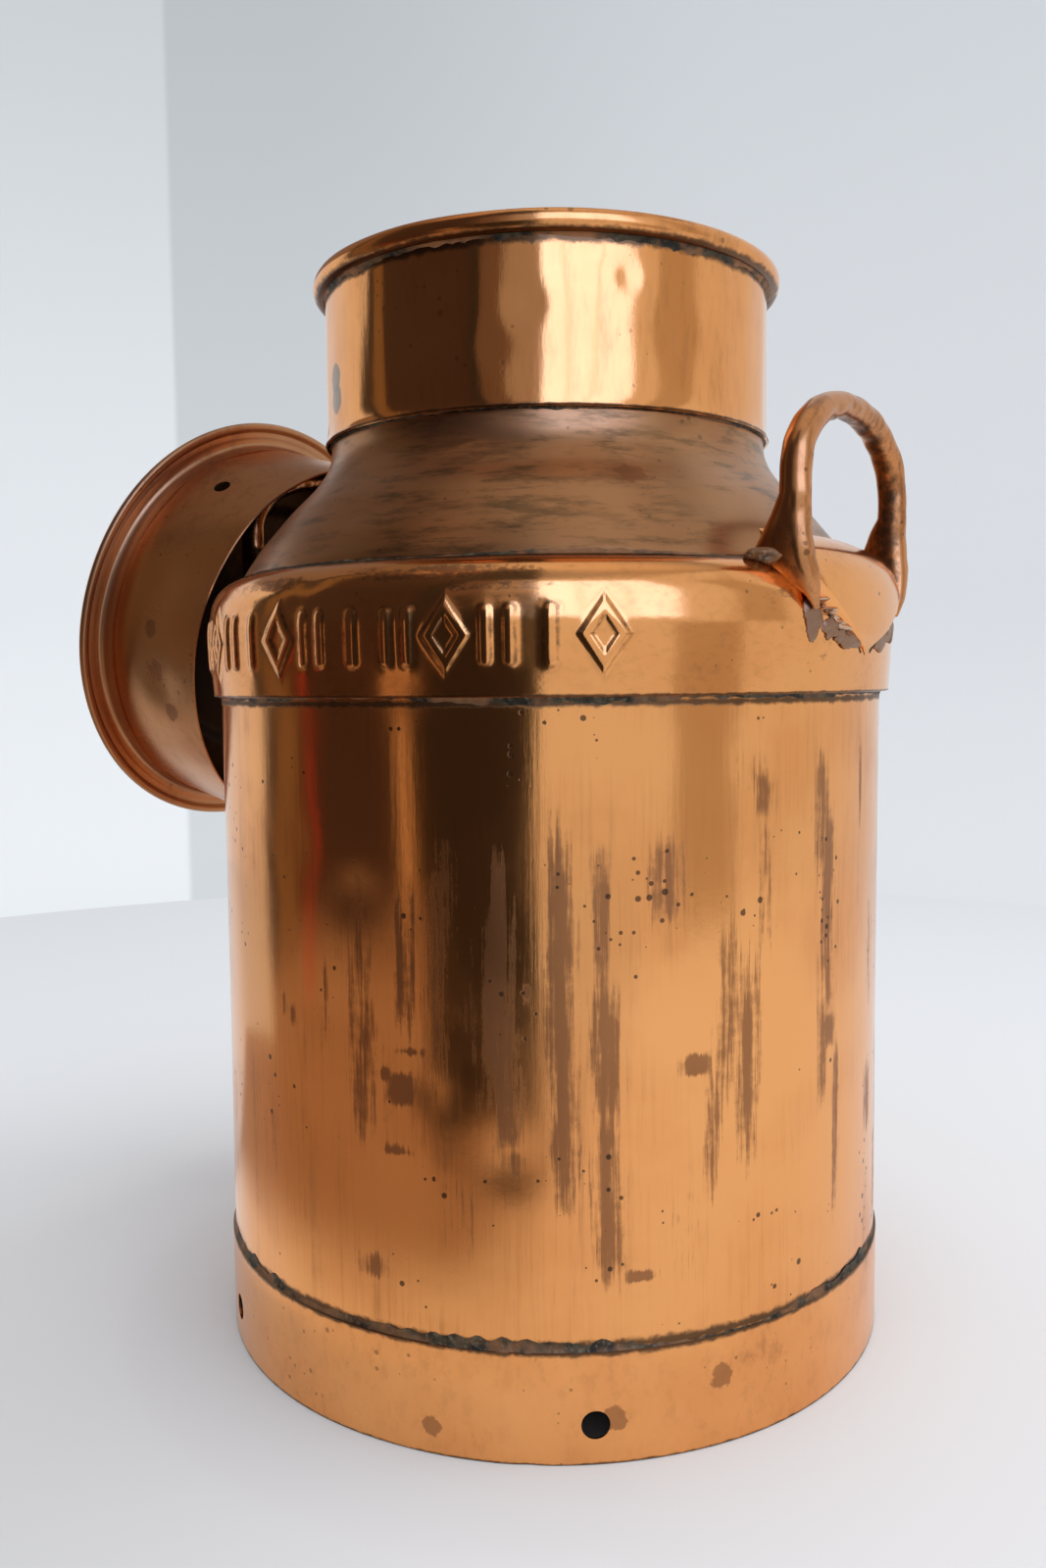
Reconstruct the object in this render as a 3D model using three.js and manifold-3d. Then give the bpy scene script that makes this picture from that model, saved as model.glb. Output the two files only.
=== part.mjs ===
// A lidded copper milk churn: a soldered sheet-metal can with a shoulder, a neck with a rolled rim and
// two loop handles. Its lid is off and hangs over the -X handle, with its open end towards the churn.
// Millimetres, +Z up. The origin is on the floor under the middle of the outer box, lid included.

import * as THREE from 'three';
import { mergeVertices } from 'three/addons/utils/BufferGeometryUtils.js';
import Module from 'manifold-3d';

const wasm = await Module();
wasm.setup();

// Driving dimensions. Radii are from the churn's own axis, heights are from the floor.
const AXIS_X = 36.7; // where the churn's axis stands along X
const SEGMENTS = 32; // sides of every turned piece, all in the same phase
const GAP = 0.35; // between pieces that are folded or soldered together

const SHEET = 1.5; // copper sheet of the can
const LID_SHEET = 1.2; // thinner sheet of the lid
const BODY_R = 165;
const BODY_FOOT_Z = 22;
const BODY_TOP_Z = 328;
const FOOT_RING_R = 166.45;
const FOOT_RING_SHEET = 1.1;
const FOOT_RING_TOP_Z = 47.2;
const DRAIN_HOLES = 5;
const DRAIN_HOLE_R = 6;
const DRAIN_HOLE_Z = 17;
const DRAIN_HOLE_START = -49; // degrees from +X
const BAND_FOOT_Z = 313.4;
const CREASE_R = 155.5;
const CREASE_Z = 368.9;
const WAIST_R = 108.25; // the cone's upright collar, inside the neck
const NECK_R = 110.1;
const NECK_FOOT_Z = 436.3;
const NECK_TOP_Z = 506;
const RIM_WIDTH = 7.4; // rolled rim, from the neck's bore outwards
const RIM_HEIGHT = 9.4;
const RIM_TOP_Z = 516.2;
const RIM_SHEET = 1.1;

const HANDLE_X = 161; // plane of each handle's loop
const HANDLE_HALF_SPAN = 54; // between the loop's middle and a leg's centre line
const HANDLE_SPRING_Z = 403; // where the legs turn into the arch
const HANDLE_RISE = 33.6; // from there to the middle of the top bar
const HANDLE_FOOT_Z = 362;
const HANDLE_DEEP = 13.6; // radial width of the bar
const HANDLE_WIDE = 11.8;
const FOOT_FLARE_R = 11;

const LID_TILT = 76.1; // degrees that the hung lid is turned from upright, towards -X
const LID_FLANGE_X = -218.6; // middle of the lid's flange, from the churn's axis
const LID_FLANGE_Y = -6;
const LID_FLANGE_Z = 355.3;
const SKIRT_TOP_R = 105.6;
const SKIRT_END_R = 104;
const SKIRT_DEPTH = 76;
const VENT_HOLES = 2;
const VENT_R = 4.6;
const VENT_DEPTH = 35.5;
const VENT_START = -39; // degrees from the lid's own +X
const CROWN_DEPTH = 9; // raised middle panel of the crown, below the flange
const GRIP_WIDTH = 20;
const GRIP_SHEET = 3;
const GRIP_HEIGHT = 24; // finger room under the grip
const RIVET_R = 2;
const RIVET_HEAD_R = 4;

const COPPER = { color: 0xc47b4a, roughness: 0.3, metalness: 1 };
const DULL_COPPER = { color: 0x96664a, roughness: 0.45, metalness: 1 };
const LID_COPPER = { color: 0xa8683f, roughness: 0.38, metalness: 1 };
const SOLDER = { color: 0x6f6f66, roughness: 0.5, metalness: 1 };
const WIRE = { color: 0x5c5750, roughness: 0.6, metalness: 1 };

// A closed profile for a sheet whose one face follows the line of points, with its thickness laid to
// the left of the line's direction, or to the right where it is negative.
function sheet(line, thickness) {
  const back = line.map(([x, y], i) => {
    const [x0, y0] = line[Math.max(i - 1, 0)];
    const [x1, y1] = line[Math.min(i + 1, line.length - 1)];
    const length = Math.hypot(x1 - x0, y1 - y0);
    return [x - (thickness * (y1 - y0)) / length, y + (thickness * (x1 - x0)) / length];
  });
  if (line[0][0] === 0) back[0][0] = 0;
  return [...line, ...back.reverse()];
}

// Points round an ellipse, from one angle to another in degrees.
function arc(x, y, width, height, from, to, steps) {
  return Array.from({ length: steps + 1 }, (_, i) => {
    const angle = THREE.MathUtils.degToRad(from + ((to - from) * i) / steps);
    return [x + width * Math.cos(angle), y + height * Math.sin(angle)];
  });
}

// A solid of revolution about Z. The profile goes once round its area, from the axis back to the axis
// or closed on itself, and is put in the order that turns its faces outwards.
function turned(profile, segments = SEGMENTS) {
  const area = profile.reduce((sum, [x, y], i) => {
    const [nextX, nextY] = profile[(i + 1) % profile.length];
    return sum + x * nextY - nextX * y;
  }, 0);
  const points = area > 0 ? [...profile] : [...profile].reverse();
  while (profile.some(([x]) => x === 0) && points[0][0] !== 0) points.push(points.shift());
  if (points[0][0] === 0 && points.at(-1)[0] !== 0) points.push(points.shift());
  if (points[0][0] !== 0) points.push(points[0]);
  const outline = points.map(([x, y]) => new THREE.Vector2(x, y));
  return new THREE.LatheGeometry(outline, segments).rotateX(Math.PI / 2);
}

// A flat outline in Y and Z, given a depth along X from x0 to x1.
function plank(outline, x0, x1) {
  const shape = new THREE.Shape(outline.map(([y, z]) => new THREE.Vector2(y, z)));
  const block = new THREE.ExtrudeGeometry(shape, { depth: x1 - x0, bevelEnabled: false });
  const turn = new THREE.Matrix4().makeBasis(
    new THREE.Vector3(0, 1, 0),
    new THREE.Vector3(0, 0, 1),
    new THREE.Vector3(1, 0, 0),
  );
  return block.applyMatrix4(turn).translate(x0, 0, 0);
}

function toSolid(geometry) {
  const bare = geometry.index ? geometry.toNonIndexed() : geometry.clone();
  bare.deleteAttribute('normal');
  bare.deleteAttribute('uv');
  const merged = mergeVertices(bare, 1e-4);
  const corners = merged.index.array;
  const kept = [];
  for (let i = 0; i < corners.length; i += 3) {
    const [a, b, c] = corners.slice(i, i + 3);
    if (a !== b && b !== c && c !== a) kept.push(a, b, c);
  }
  return new wasm.Manifold(
    new wasm.Mesh({
      numProp: 3,
      vertProperties: new Float32Array(merged.attributes.position.array),
      triVerts: new Uint32Array(kept),
    }),
  );
}

// The largest body of a cut solid, as a geometry, with its shortest edges closed up.
function toGeometry(solid) {
  const bodies = solid.simplify(0.02).decompose().sort((a, b) => b.volume() - a.volume());
  const mesh = bodies[0].getMesh();
  const geometry = new THREE.BufferGeometry();
  geometry.setAttribute('position', new THREE.BufferAttribute(mesh.vertProperties, 3));
  geometry.setIndex(new THREE.BufferAttribute(mesh.triVerts, 1));
  geometry.computeVertexNormals();
  return geometry;
}

function piece(name, geometry, finish) {
  const mesh = new THREE.Mesh(geometry, new THREE.MeshStandardMaterial(finish));
  mesh.name = name;
  return mesh;
}

// A round hole's cutter: a short rod along a radius at the given angle and height.
function radialRod(radius, from, to, degrees, z) {
  const rod = new THREE.CylinderGeometry(radius, radius, to - from, 16);
  rod.rotateZ(-Math.PI / 2).translate((from + to) / 2, 0, z);
  return rod.rotateZ(THREE.MathUtils.degToRad(degrees));
}

// ---- The can: body, bottom and foot ring

// The rolled body, with its top edge lapped inside the shoulder band.
function bodyShell() {
  return turned([
    [BODY_R, BODY_FOOT_Z],
    [BODY_R, BODY_TOP_Z],
    [BODY_R - SHEET, BODY_TOP_Z],
    [BODY_R - SHEET, BODY_FOOT_Z],
  ]);
}

// The set-in bottom: a slightly crowned plate with its edge turned down inside the body.
function bottomPlate() {
  const edgeR = BODY_R - SHEET - GAP;
  const top = [
    [0, 35],
    [110, 33.7],
    [158, 31.4],
    [edgeR - 1.4, 29.8],
    [edgeR, 26.5],
    [edgeR, BODY_FOOT_Z],
  ];
  return turned(sheet(top, -SHEET));
}

// A fillet of solder inside, between the bottom and the body.
function bottomSolder() {
  const edgeR = BODY_R - SHEET - GAP;
  return turned([
    [edgeR, 28.8],
    [edgeR, 37],
    [157, 32.3],
    [161.9, 30.6],
  ]);
}

// The standing ring round the foot, with its drain holes.
function footRing() {
  const innerR = FOOT_RING_R - FOOT_RING_SHEET;
  const ring = turned([
    [innerR, 0],
    [FOOT_RING_R, 0],
    [FOOT_RING_R, FOOT_RING_TOP_Z],
    [innerR, FOOT_RING_TOP_Z],
  ]);
  let solid = toSolid(ring);
  for (let i = 0; i < DRAIN_HOLES; i += 1) {
    const degrees = DRAIN_HOLE_START + (i * 360) / DRAIN_HOLES;
    const cutter = radialRod(DRAIN_HOLE_R, BODY_R - 8, BODY_R + 8, degrees, DRAIN_HOLE_Z);
    solid = solid.subtract(toSolid(cutter));
  }
  return toGeometry(solid);
}

function footRingSolder() {
  const innerR = BODY_R + GAP;
  const foot = FOOT_RING_TOP_Z + GAP;
  return turned([
    [innerR, foot],
    [FOOT_RING_R + 0.3, foot],
    [innerR, foot + 7],
  ]);
}

// ---- The shoulder: band, cone and their solder

// The outer face of the shoulder band, from its lower edge up and over to the crease.
const BAND_LINE = [
  [169, BAND_FOOT_Z],
  [170.1, 330],
  [170.5, 343],
  [168.9, 356],
  [165.2, 362.8],
  [161, 366.4],
  [CREASE_R, CREASE_Z],
];

// The outer face of the cone, from its flange under the band to its collar inside the neck.
const CONE_LINE = [
  [160.5, 363.8],
  [154.4, 366.7],
  [153.2, 370.2],
  [143.8, 384.2],
  [129.2, 401.5],
  [118.5, 412],
  [112, 420.5],
  [108.9, 428],
  [WAIST_R, 434],
  [WAIST_R, 446],
];

// Solder between the band and the body, with a fillet that shows below the band's edge.
function bandSolder() {
  return turned([
    [BODY_R + GAP, 307.5],
    [168.4, BAND_FOOT_Z - GAP],
    [167.1, BAND_FOOT_Z],
    [167.1, 322],
    [BODY_R + GAP, 322],
  ]);
}

// A low bead along the crease, over the band's upper edge.
function creaseSolder() {
  return turned([
    [157, 368.6],
    [155.4, 370.5],
    [152.9, 371.5],
    [153.6, 370.2],
    [154.9, 369.3],
    [155.7, 369.2],
  ]);
}

// ---- The neck and its rolled rim

function neckCollar() {
  const outer = [
    [111.4, NECK_FOOT_Z],
    [110.4, 439.5],
    [NECK_R, 444],
    [NECK_R, NECK_TOP_Z],
  ];
  return turned(sheet(outer, SHEET));
}

function neckSolder() {
  return turned([
    [109, 431],
    [111, NECK_FOOT_Z - 0.9],
    [WAIST_R + GAP, NECK_FOOT_Z - 0.9],
  ]);
}

const RIM_R = NECK_R - SHEET + RIM_WIDTH / 2;
const RIM_Z = RIM_TOP_Z - RIM_HEIGHT / 2;

// The rim: sheet curled outwards round a wire, open where its edge comes back to the neck.
function rimBead() {
  const width = RIM_WIDTH / 2;
  const height = RIM_HEIGHT / 2;
  const outside = arc(RIM_R, RIM_Z, width, height, -105, 215, 8);
  const inside = arc(RIM_R, RIM_Z, width - RIM_SHEET, height - RIM_SHEET, 215, -105, 8);
  return turned([...outside, ...inside]);
}

function ringWire(ringR, ringZ, wireR) {
  return turned(arc(ringR, ringZ, wireR, wireR, 0, 270, 3));
}

function rimSolder() {
  return turned([
    [NECK_R + GAP, 501.5],
    [RIM_R + 0.9, NECK_TOP_Z + 0.2],
    [NECK_R + GAP, NECK_TOP_Z + 0.2],
  ]);
}

// ---- Handles and their saddles, made at +X and turned half round for -X

// The saddle's outer face, from its lower edge, over the shoulder, to where it meets the cone.
const SADDLE_LINE = [
  [171.6, 331.5],
  [173.4, 337.5],
  [174.6, 344],
  [175, 352],
  [174.3, 360],
  [171.9, 367],
  [167.6, 372.8],
  [161, 377.3],
  [153, 380.9],
  [146.9, 382.4],
];

// The shoulder's outer face where the saddle lies on it, with the gap added.
const SHOULDER_LINE = [
  [146.5, 381.6],
  [152.8, 372.2],
  [155.9, 371.2],
  [157.6, 369.2],
  [161.6, 367.3],
  [165.9, 363.5],
  [169, 358.2],
  [170.5, 351.2],
  [171, 343],
  [170.7, 333],
  [170.4, 322],
];

// Half of the saddle's outline, seen along X: a shield that narrows downwards.
const SHIELD_HALF = [
  [7, 332],
  [15, 336],
  [25, 341],
  [36, 348.5],
  [45, 356],
  [53, 363.5],
  [54, 370],
  [48, 376],
  [40, 384],
];

function shield(grow) {
  const middleZ = 366;
  const half = SHIELD_HALF.map(([y, z]) => {
    const length = Math.hypot(y, z - middleZ);
    return [y + (grow * y) / length, z + (grow * (z - middleZ)) / length];
  });
  const mirrored = half.map(([y, z]) => [-y, z]).reverse();
  return toSolid(plank([...half, ...mirrored], 120, 190));
}

function saddleSolid(grow) {
  const outer = SADDLE_LINE.map(([r, z]) => [r + grow, z + grow]);
  const pillow = toSolid(turned([...outer, ...SHOULDER_LINE.slice(0, -1)], 72));
  return pillow.intersect(shield(grow));
}

function saddle() {
  return toGeometry(saddleSolid(0));
}

// A ragged line of solder along the saddle's sides, kept here as an even strip.
function saddleSolder() {
  const low = SHOULDER_LINE.slice(3);
  const strip = toSolid(turned(sheet(low, 2), 72));
  return toGeometry(strip.intersect(shield(4.5)).subtract(shield(GAP)).subtract(handleSolid(GAP)));
}

// The loop handle: one bar bent to an arch, with flared feet that stand on the shoulder.
function handleSolid(grow) {
  const side = HANDLE_HALF_SPAN;
  const arch = arc(0, HANDLE_SPRING_Z, side, HANDLE_RISE, 180, 0, 10);
  const foot = HANDLE_FOOT_Z - grow;
  const middleLine = [[-side, foot], [-side, 384], ...arch, [side, 384], [side, foot]];
  const route = new THREE.CatmullRomCurve3(
    middleLine.map(([y, z]) => new THREE.Vector3(HANDLE_X, y, z)),
    false,
    'centripetal',
  );
  const section = new THREE.Shape();
  section.absellipse(0, 0, HANDLE_DEEP / 2 + grow, HANDLE_WIDE / 2 + grow, 0, Math.PI * 2);
  const bar = new THREE.ExtrudeGeometry(section, { steps: 30, extrudePath: route, curveSegments: 6 });
  let solid = toSolid(bar);
  for (const y of [-side, side]) {
    const flare = new THREE.CylinderGeometry(HANDLE_WIDE / 2 + grow, FOOT_FLARE_R + grow, 30, 14);
    flare.rotateX(Math.PI / 2).rotateY(0.23).translate(HANDLE_X - 3.4, y, HANDLE_FOOT_Z + 15);
    solid = solid.add(toSolid(flare));
  }
  return solid;
}

function shoulderSolid() {
  const outer = [...SHOULDER_LINE].reverse();
  return toSolid(turned([[0, 322], ...outer, [127, 404.4], [0, 404.4]]));
}

function handle() {
  return toGeometry(handleSolid(0).subtract(shoulderSolid()).subtract(saddleSolid(GAP)));
}

// ---- The lid, in its own frame: its flange in the plane z = 0, its skirt down, its grip up

function lidSkirt() {
  const shell = turned([
    [SKIRT_TOP_R, -1],
    [SKIRT_TOP_R - LID_SHEET, -1],
    [SKIRT_END_R - LID_SHEET, -SKIRT_DEPTH],
    [SKIRT_END_R, -SKIRT_DEPTH],
  ]);
  let solid = toSolid(shell);
  for (let i = 0; i < VENT_HOLES; i += 1) {
    const degrees = VENT_START + (i * 360) / VENT_HOLES;
    solid = solid.subtract(toSolid(radialRod(VENT_R, 95, 112, degrees, -VENT_DEPTH)));
  }
  return toGeometry(solid);
}

const LID_EDGE_R = 117.7;
const LID_EDGE_Z = -0.6;

// The flange: a collar round the skirt, a grooved plate, and an edge curled round a wire.
function lidFlange() {
  return turned([
    [105.8, -9],
    [106, -4.8],
    [107.1, -1.7],
    [109.3, -0.1],
    [112, 0.5],
    ...arc(LID_EDGE_R, LID_EDGE_Z, 2.2, 2.2, 125, -130, 5),
    ...arc(LID_EDGE_R, LID_EDGE_Z, 1.15, 1.15, -130, 125, 5),
    [115.6, -0.6],
    [112, -0.7],
    [109.6, -1.3],
    [108.1, -2.6],
    [107.2, -5.3],
    [107, -9],
  ]);
}

// The crown: a recessed plate with a raised middle panel and its edge turned up inside the skirt.
const CROWN_LINE = [
  [0, -CROWN_DEPTH - LID_SHEET],
  [68, -CROWN_DEPTH - LID_SHEET],
  [74, -13.5],
  [98, -14.8],
  [102.4, -14.2],
  [103.4, -11],
  [103.5, -6],
];

const GRIP_FOOT_Z = -CROWN_DEPTH + GAP;
const RIVET_PLACES = [
  [-5.5, -54],
  [5.5, -54],
  [-5.5, 54],
  [5.5, 54],
];

function drilled(solid) {
  return RIVET_PLACES.reduce((left, [x, y]) => {
    const drill = new THREE.CylinderGeometry(RIVET_R + GAP, RIVET_R + GAP, 20, 12);
    return left.subtract(toSolid(drill.rotateX(Math.PI / 2).translate(x, y, GRIP_FOOT_Z)));
  }, solid);
}

function lidCrown() {
  return toGeometry(drilled(toSolid(turned(sheet(CROWN_LINE, LID_SHEET)))));
}

function lidCrownSolder() {
  return turned([
    [103.2, -15.4],
    [103.25, -21],
    [99, -17.2],
    [102.2, -16.3],
  ]);
}

// The grip: a flat strap bent to a low arch, on two feet riveted to the crown.
function lidGrip() {
  const top = GRIP_FOOT_Z + GRIP_HEIGHT;
  const half = [
    [-64, GRIP_FOOT_Z],
    [-44, GRIP_FOOT_Z],
    [-41, GRIP_FOOT_Z + 3],
    [-38.5, GRIP_FOOT_Z + 13],
    [-33, top - 4.4],
    [-24, top - 1.4],
  ];
  const line = [...half, [0, top], ...half.map(([y, z]) => [-y, z]).reverse()];
  const strap = plank(sheet(line, GRIP_SHEET), -GRIP_WIDTH / 2, GRIP_WIDTH / 2);
  return toGeometry(drilled(toSolid(strap)));
}

// A rivet with a low domed head over the strap and a peened tail under the crown.
function rivet() {
  const headZ = GRIP_FOOT_Z + GRIP_SHEET + GAP;
  const tailZ = -CROWN_DEPTH - LID_SHEET - GAP;
  return turned(
    [
      [0, headZ + 2.2],
      [2.6, headZ + 1.6],
      [RIVET_HEAD_R, headZ],
      [RIVET_R, headZ],
      [RIVET_R, tailZ],
      [3.2, tailZ],
      [2.4, tailZ - 1.3],
      [0, tailZ - 1.5],
    ],
    10,
  );
}

// ---- Putting the churn and its lid together

const churn = new THREE.Group();
churn.position.x = AXIS_X;
churn.add(
  piece('body_shell', bodyShell(), COPPER),
  piece('bottom_plate', bottomPlate(), DULL_COPPER),
  piece('bottom_solder', bottomSolder(), SOLDER),
  piece('foot_ring', footRing(), COPPER),
  piece('foot_ring_solder', footRingSolder(), SOLDER),
  piece('shoulder_band', turned(sheet(BAND_LINE, SHEET)), COPPER),
  piece('band_solder', bandSolder(), SOLDER),
  piece('shoulder_cone', turned(sheet(CONE_LINE, SHEET)), DULL_COPPER),
  piece('crease_solder', creaseSolder(), SOLDER),
  piece('neck_collar', neckCollar(), COPPER),
  piece('neck_solder', neckSolder(), SOLDER),
  piece('rim_bead', rimBead(), COPPER),
  piece('rim_wire', ringWire(RIM_R, RIM_Z, 2), WIRE),
  piece('rim_solder', rimSolder(), SOLDER),
);

for (const [side, turn] of [['right', 0], ['left', Math.PI]]) {
  const corner = new THREE.Group();
  corner.rotation.z = turn;
  corner.add(
    piece(`handle_${side}`, handle(), DULL_COPPER),
    piece(`saddle_${side}`, saddle(), COPPER),
    piece(`saddle_solder_${side}`, saddleSolder(), SOLDER),
  );
  churn.add(corner);
}

const lid = new THREE.Group();
lid.position.set(LID_FLANGE_X, LID_FLANGE_Y, LID_FLANGE_Z);
lid.rotation.y = THREE.MathUtils.degToRad(-LID_TILT);
lid.add(
  piece('lid_skirt', lidSkirt(), LID_COPPER),
  piece('lid_flange', lidFlange(), LID_COPPER),
  piece('lid_edge_wire', ringWire(LID_EDGE_R, LID_EDGE_Z, 0.75), WIRE),
  piece('lid_crown', lidCrown(), LID_COPPER),
  piece('lid_crown_solder', lidCrownSolder(), SOLDER),
  piece('lid_grip', lidGrip(), LID_COPPER),
);
RIVET_PLACES.forEach(([x, y], i) => {
  const one = piece(`lid_rivet_${i + 1}`, rivet(), LID_COPPER);
  one.position.set(x, y, 0);
  lid.add(one);
});
churn.add(lid);

const assembly = new THREE.Group();
assembly.add(churn);

export default assembly;
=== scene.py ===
"""A lidded copper milk churn with soldered seams, its lid hung over one handle, in a pale studio."""

import math

import bmesh
import bpy
import numpy as np
from mathutils import Matrix, Vector


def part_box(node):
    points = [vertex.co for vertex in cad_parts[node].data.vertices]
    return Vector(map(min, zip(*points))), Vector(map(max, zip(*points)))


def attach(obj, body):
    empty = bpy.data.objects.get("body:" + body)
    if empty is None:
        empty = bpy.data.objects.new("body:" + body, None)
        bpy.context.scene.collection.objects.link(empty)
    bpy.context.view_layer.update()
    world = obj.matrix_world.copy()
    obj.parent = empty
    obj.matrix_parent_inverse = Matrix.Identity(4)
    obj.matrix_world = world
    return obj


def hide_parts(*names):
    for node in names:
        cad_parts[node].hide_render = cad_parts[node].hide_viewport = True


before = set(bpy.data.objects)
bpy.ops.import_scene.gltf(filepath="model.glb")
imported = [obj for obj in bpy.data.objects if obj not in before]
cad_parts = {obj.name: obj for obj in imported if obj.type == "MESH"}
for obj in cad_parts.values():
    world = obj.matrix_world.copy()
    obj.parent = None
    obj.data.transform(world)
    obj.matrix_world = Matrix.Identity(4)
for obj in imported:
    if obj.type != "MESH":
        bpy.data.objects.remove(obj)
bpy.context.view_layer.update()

# ---- The studio: a white floor in a round pale room, with the camera a little above the shoulder.
# Polished copper shows what stands round it, so screens that only it can mirror stand for the window
# at the front right, the dim half of the room at the front left, and the doorway beyond the window.

MM = 0.001
body_low, body_high = (np.array(corner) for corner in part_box("body_shell"))
AXIS = (body_low + body_high) / 2 * (1, 1, 0)
BODY_R = (body_high[0] - body_low[0]) / 2
CAMERA_AT = np.array((417.9, -540.4, 319.5)) * MM
CAMERA_HEADING = 36.39
CAMERA_TILT = 85.35
CAMERA_ROLL = -0.56
LENS = 29.21
TOWARDS_CAMERA = -54.8  # the camera's side of the churn, in degrees round its axis from +X


def surface(name, grid, rows_closed=False, columns_closed=False, welded=False):
    """A smooth-shaded mesh on a grid of points, rows by columns by 3. Each face joins four neighbours,
    and a closed direction also joins its last line of points to its first. The faces of a closed
    surface are turned outwards by the sign of the volume that they hold."""
    rows, columns = grid.shape[:2]
    row = np.arange(rows if rows_closed else rows - 1)[:, None]
    column = np.arange(columns if columns_closed else columns - 1)[None, :]
    below = (row + 1) % rows
    beside = (column + 1) % columns
    this_row = row * columns
    next_row = below * columns
    corners = (this_row + column, this_row + beside, next_row + beside, next_row + column)
    faces = np.stack(corners, -1).reshape(-1, 4)
    points = grid.reshape(-1, 3)
    a, b, c, d = (points[faces[:, k]] for k in range(4))
    if np.sum(a * (np.cross(b, c) + np.cross(c, d))) < 0:
        faces = faces[:, ::-1]
    mesh = bpy.data.meshes.new(name)
    mesh.from_pydata(points.tolist(), [], faces.tolist())
    if welded:
        work = bmesh.new()
        work.from_mesh(mesh)
        bmesh.ops.remove_doubles(work, verts=work.verts, dist=1e-6)
        work.to_mesh(mesh)
        work.free()
    mesh.shade_smooth()
    mesh.set_sharp_from_angle(angle=math.radians(40))
    piece = bpy.data.objects.new(name, mesh)
    bpy.context.scene.collection.objects.link(piece)
    return piece


def turned(profile, angles, push=0.0, axis=AXIS):
    """Points of a profile of radii and heights carried round an upright axis: x = r cos a, y = r sin a.
    Push, an array of profile points by angles, is added to the radius."""
    radius = profile[:, 0, None] + push + 0 * angles
    height = profile[:, 1, None] + 0 * angles
    return np.stack([radius * np.cos(angles), radius * np.sin(angles), height], -1) + axis


class Value:
    """A socket in a material. Arithmetic on it adds Math nodes, so that 1 - mask works."""

    def __init__(self, tree, socket):
        self.tree = tree
        self.socket = socket

    def node(self, kind, settings=(), inputs=(), output=0):
        """A node of any other type. Its settings are set first, then its sockets get values or links."""
        node = self.tree.nodes.new(kind)
        for name, setting in dict(settings).items():
            setattr(node, name, setting)
        for name, value in dict(inputs).items():
            if isinstance(value, Value):
                self.tree.links.new(value.socket, node.inputs[name])
            else:
                node.inputs[name].default_value = value
        return Value(self.tree, node.outputs[output])

    def maths(self, operation, *values):
        """One Math node."""
        return self.node("ShaderNodeMath", {"operation": operation}, dict(enumerate(values)))

    def __add__(self, other):
        return self.maths("ADD", self, other)

    def __sub__(self, other):
        return self.maths("SUBTRACT", self, other)

    def __rsub__(self, other):
        return self.maths("SUBTRACT", other, self)

    def __mul__(self, other):
        return self.maths("MULTIPLY", self, other)

    __radd__ = __add__
    __rmul__ = __mul__

    def step(self, low, high):
        """0 below low, 1 above high, and a smooth rise between them, or a fall where low is the higher."""
        inputs = {"Value": self, "From Min": low, "From Max": high}
        return self.node("ShaderNodeMapRange", {"interpolation_type": "SMOOTHSTEP"}, inputs)

    def stretched(self, scale):
        """Places scaled by a share along each axis."""
        return self.node("ShaderNodeMapping", inputs={"Vector": self, "Scale": scale})

    def clouds(self, scale, detail=3.0, roughness=0.55):
        """Soft noise between 0 and 1."""
        inputs = {"Vector": self, "Scale": scale, "Detail": detail, "Roughness": roughness}
        return self.node("ShaderNodeTexNoise", inputs=inputs)

    def distance(self, point):
        """How far the point is from another."""
        inputs = {0: self, 1: tuple(point)}
        return self.node("ShaderNodeVectorMath", {"operation": "DISTANCE"}, inputs, output=1)

    def near(self, point, reach):
        """1 close to a point, falling to 0 at the reach."""
        return self.distance(point).step(reach, reach * 0.2)

    def along(self, direction):
        """How far the point lies along a direction."""
        inputs = {0: self, 1: direction}
        return self.node("ShaderNodeVectorMath", {"operation": "DOT_PRODUCT"}, inputs, output=1)

    def drive(self, shader, socket):
        """Feeds a socket of the shader."""
        self.tree.links.new(self.socket, shader.inputs[socket])


def blend(mask, first, second):
    """The first colour where the mask is 0, the second where it is 1."""
    settings = {"data_type": "RGBA"}
    colours = [c if isinstance(c, Value) else (*c, 1) for c in (first, second)]
    return mask.node("ShaderNodeMix", settings, {0: mask, 6: colours[0], 7: colours[1]}, output=2)


def new_finish(name):
    """An empty finish: its material, its shader and the place of each point in metres."""
    finish = bpy.data.materials.new(name)
    finish.use_nodes = True
    tree = finish.node_tree
    place = Value(tree, tree.nodes.new("ShaderNodeTexCoord").outputs["Object"])
    return finish, tree.nodes["Principled BSDF"], place


def new_glow(name, strength=1.0):
    """A black finish that gives off light, with its colour still to be set."""
    finish, shader, place = new_finish(name)
    shader.inputs["Base Color"].default_value = (0, 0, 0, 1)
    shader.inputs["Emission Strength"].default_value = strength
    return finish, shader, place


def stage_piece(name, grid, finish, seen_by_camera):
    """A part of the studio. A screen is seen only in mirrors, and the wall only by the camera."""
    piece = surface(name, grid)
    piece.data.materials.append(finish)
    piece.visible_camera = seen_by_camera
    piece.visible_shadow = piece.visible_diffuse = piece.visible_transmission = False
    return piece


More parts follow.
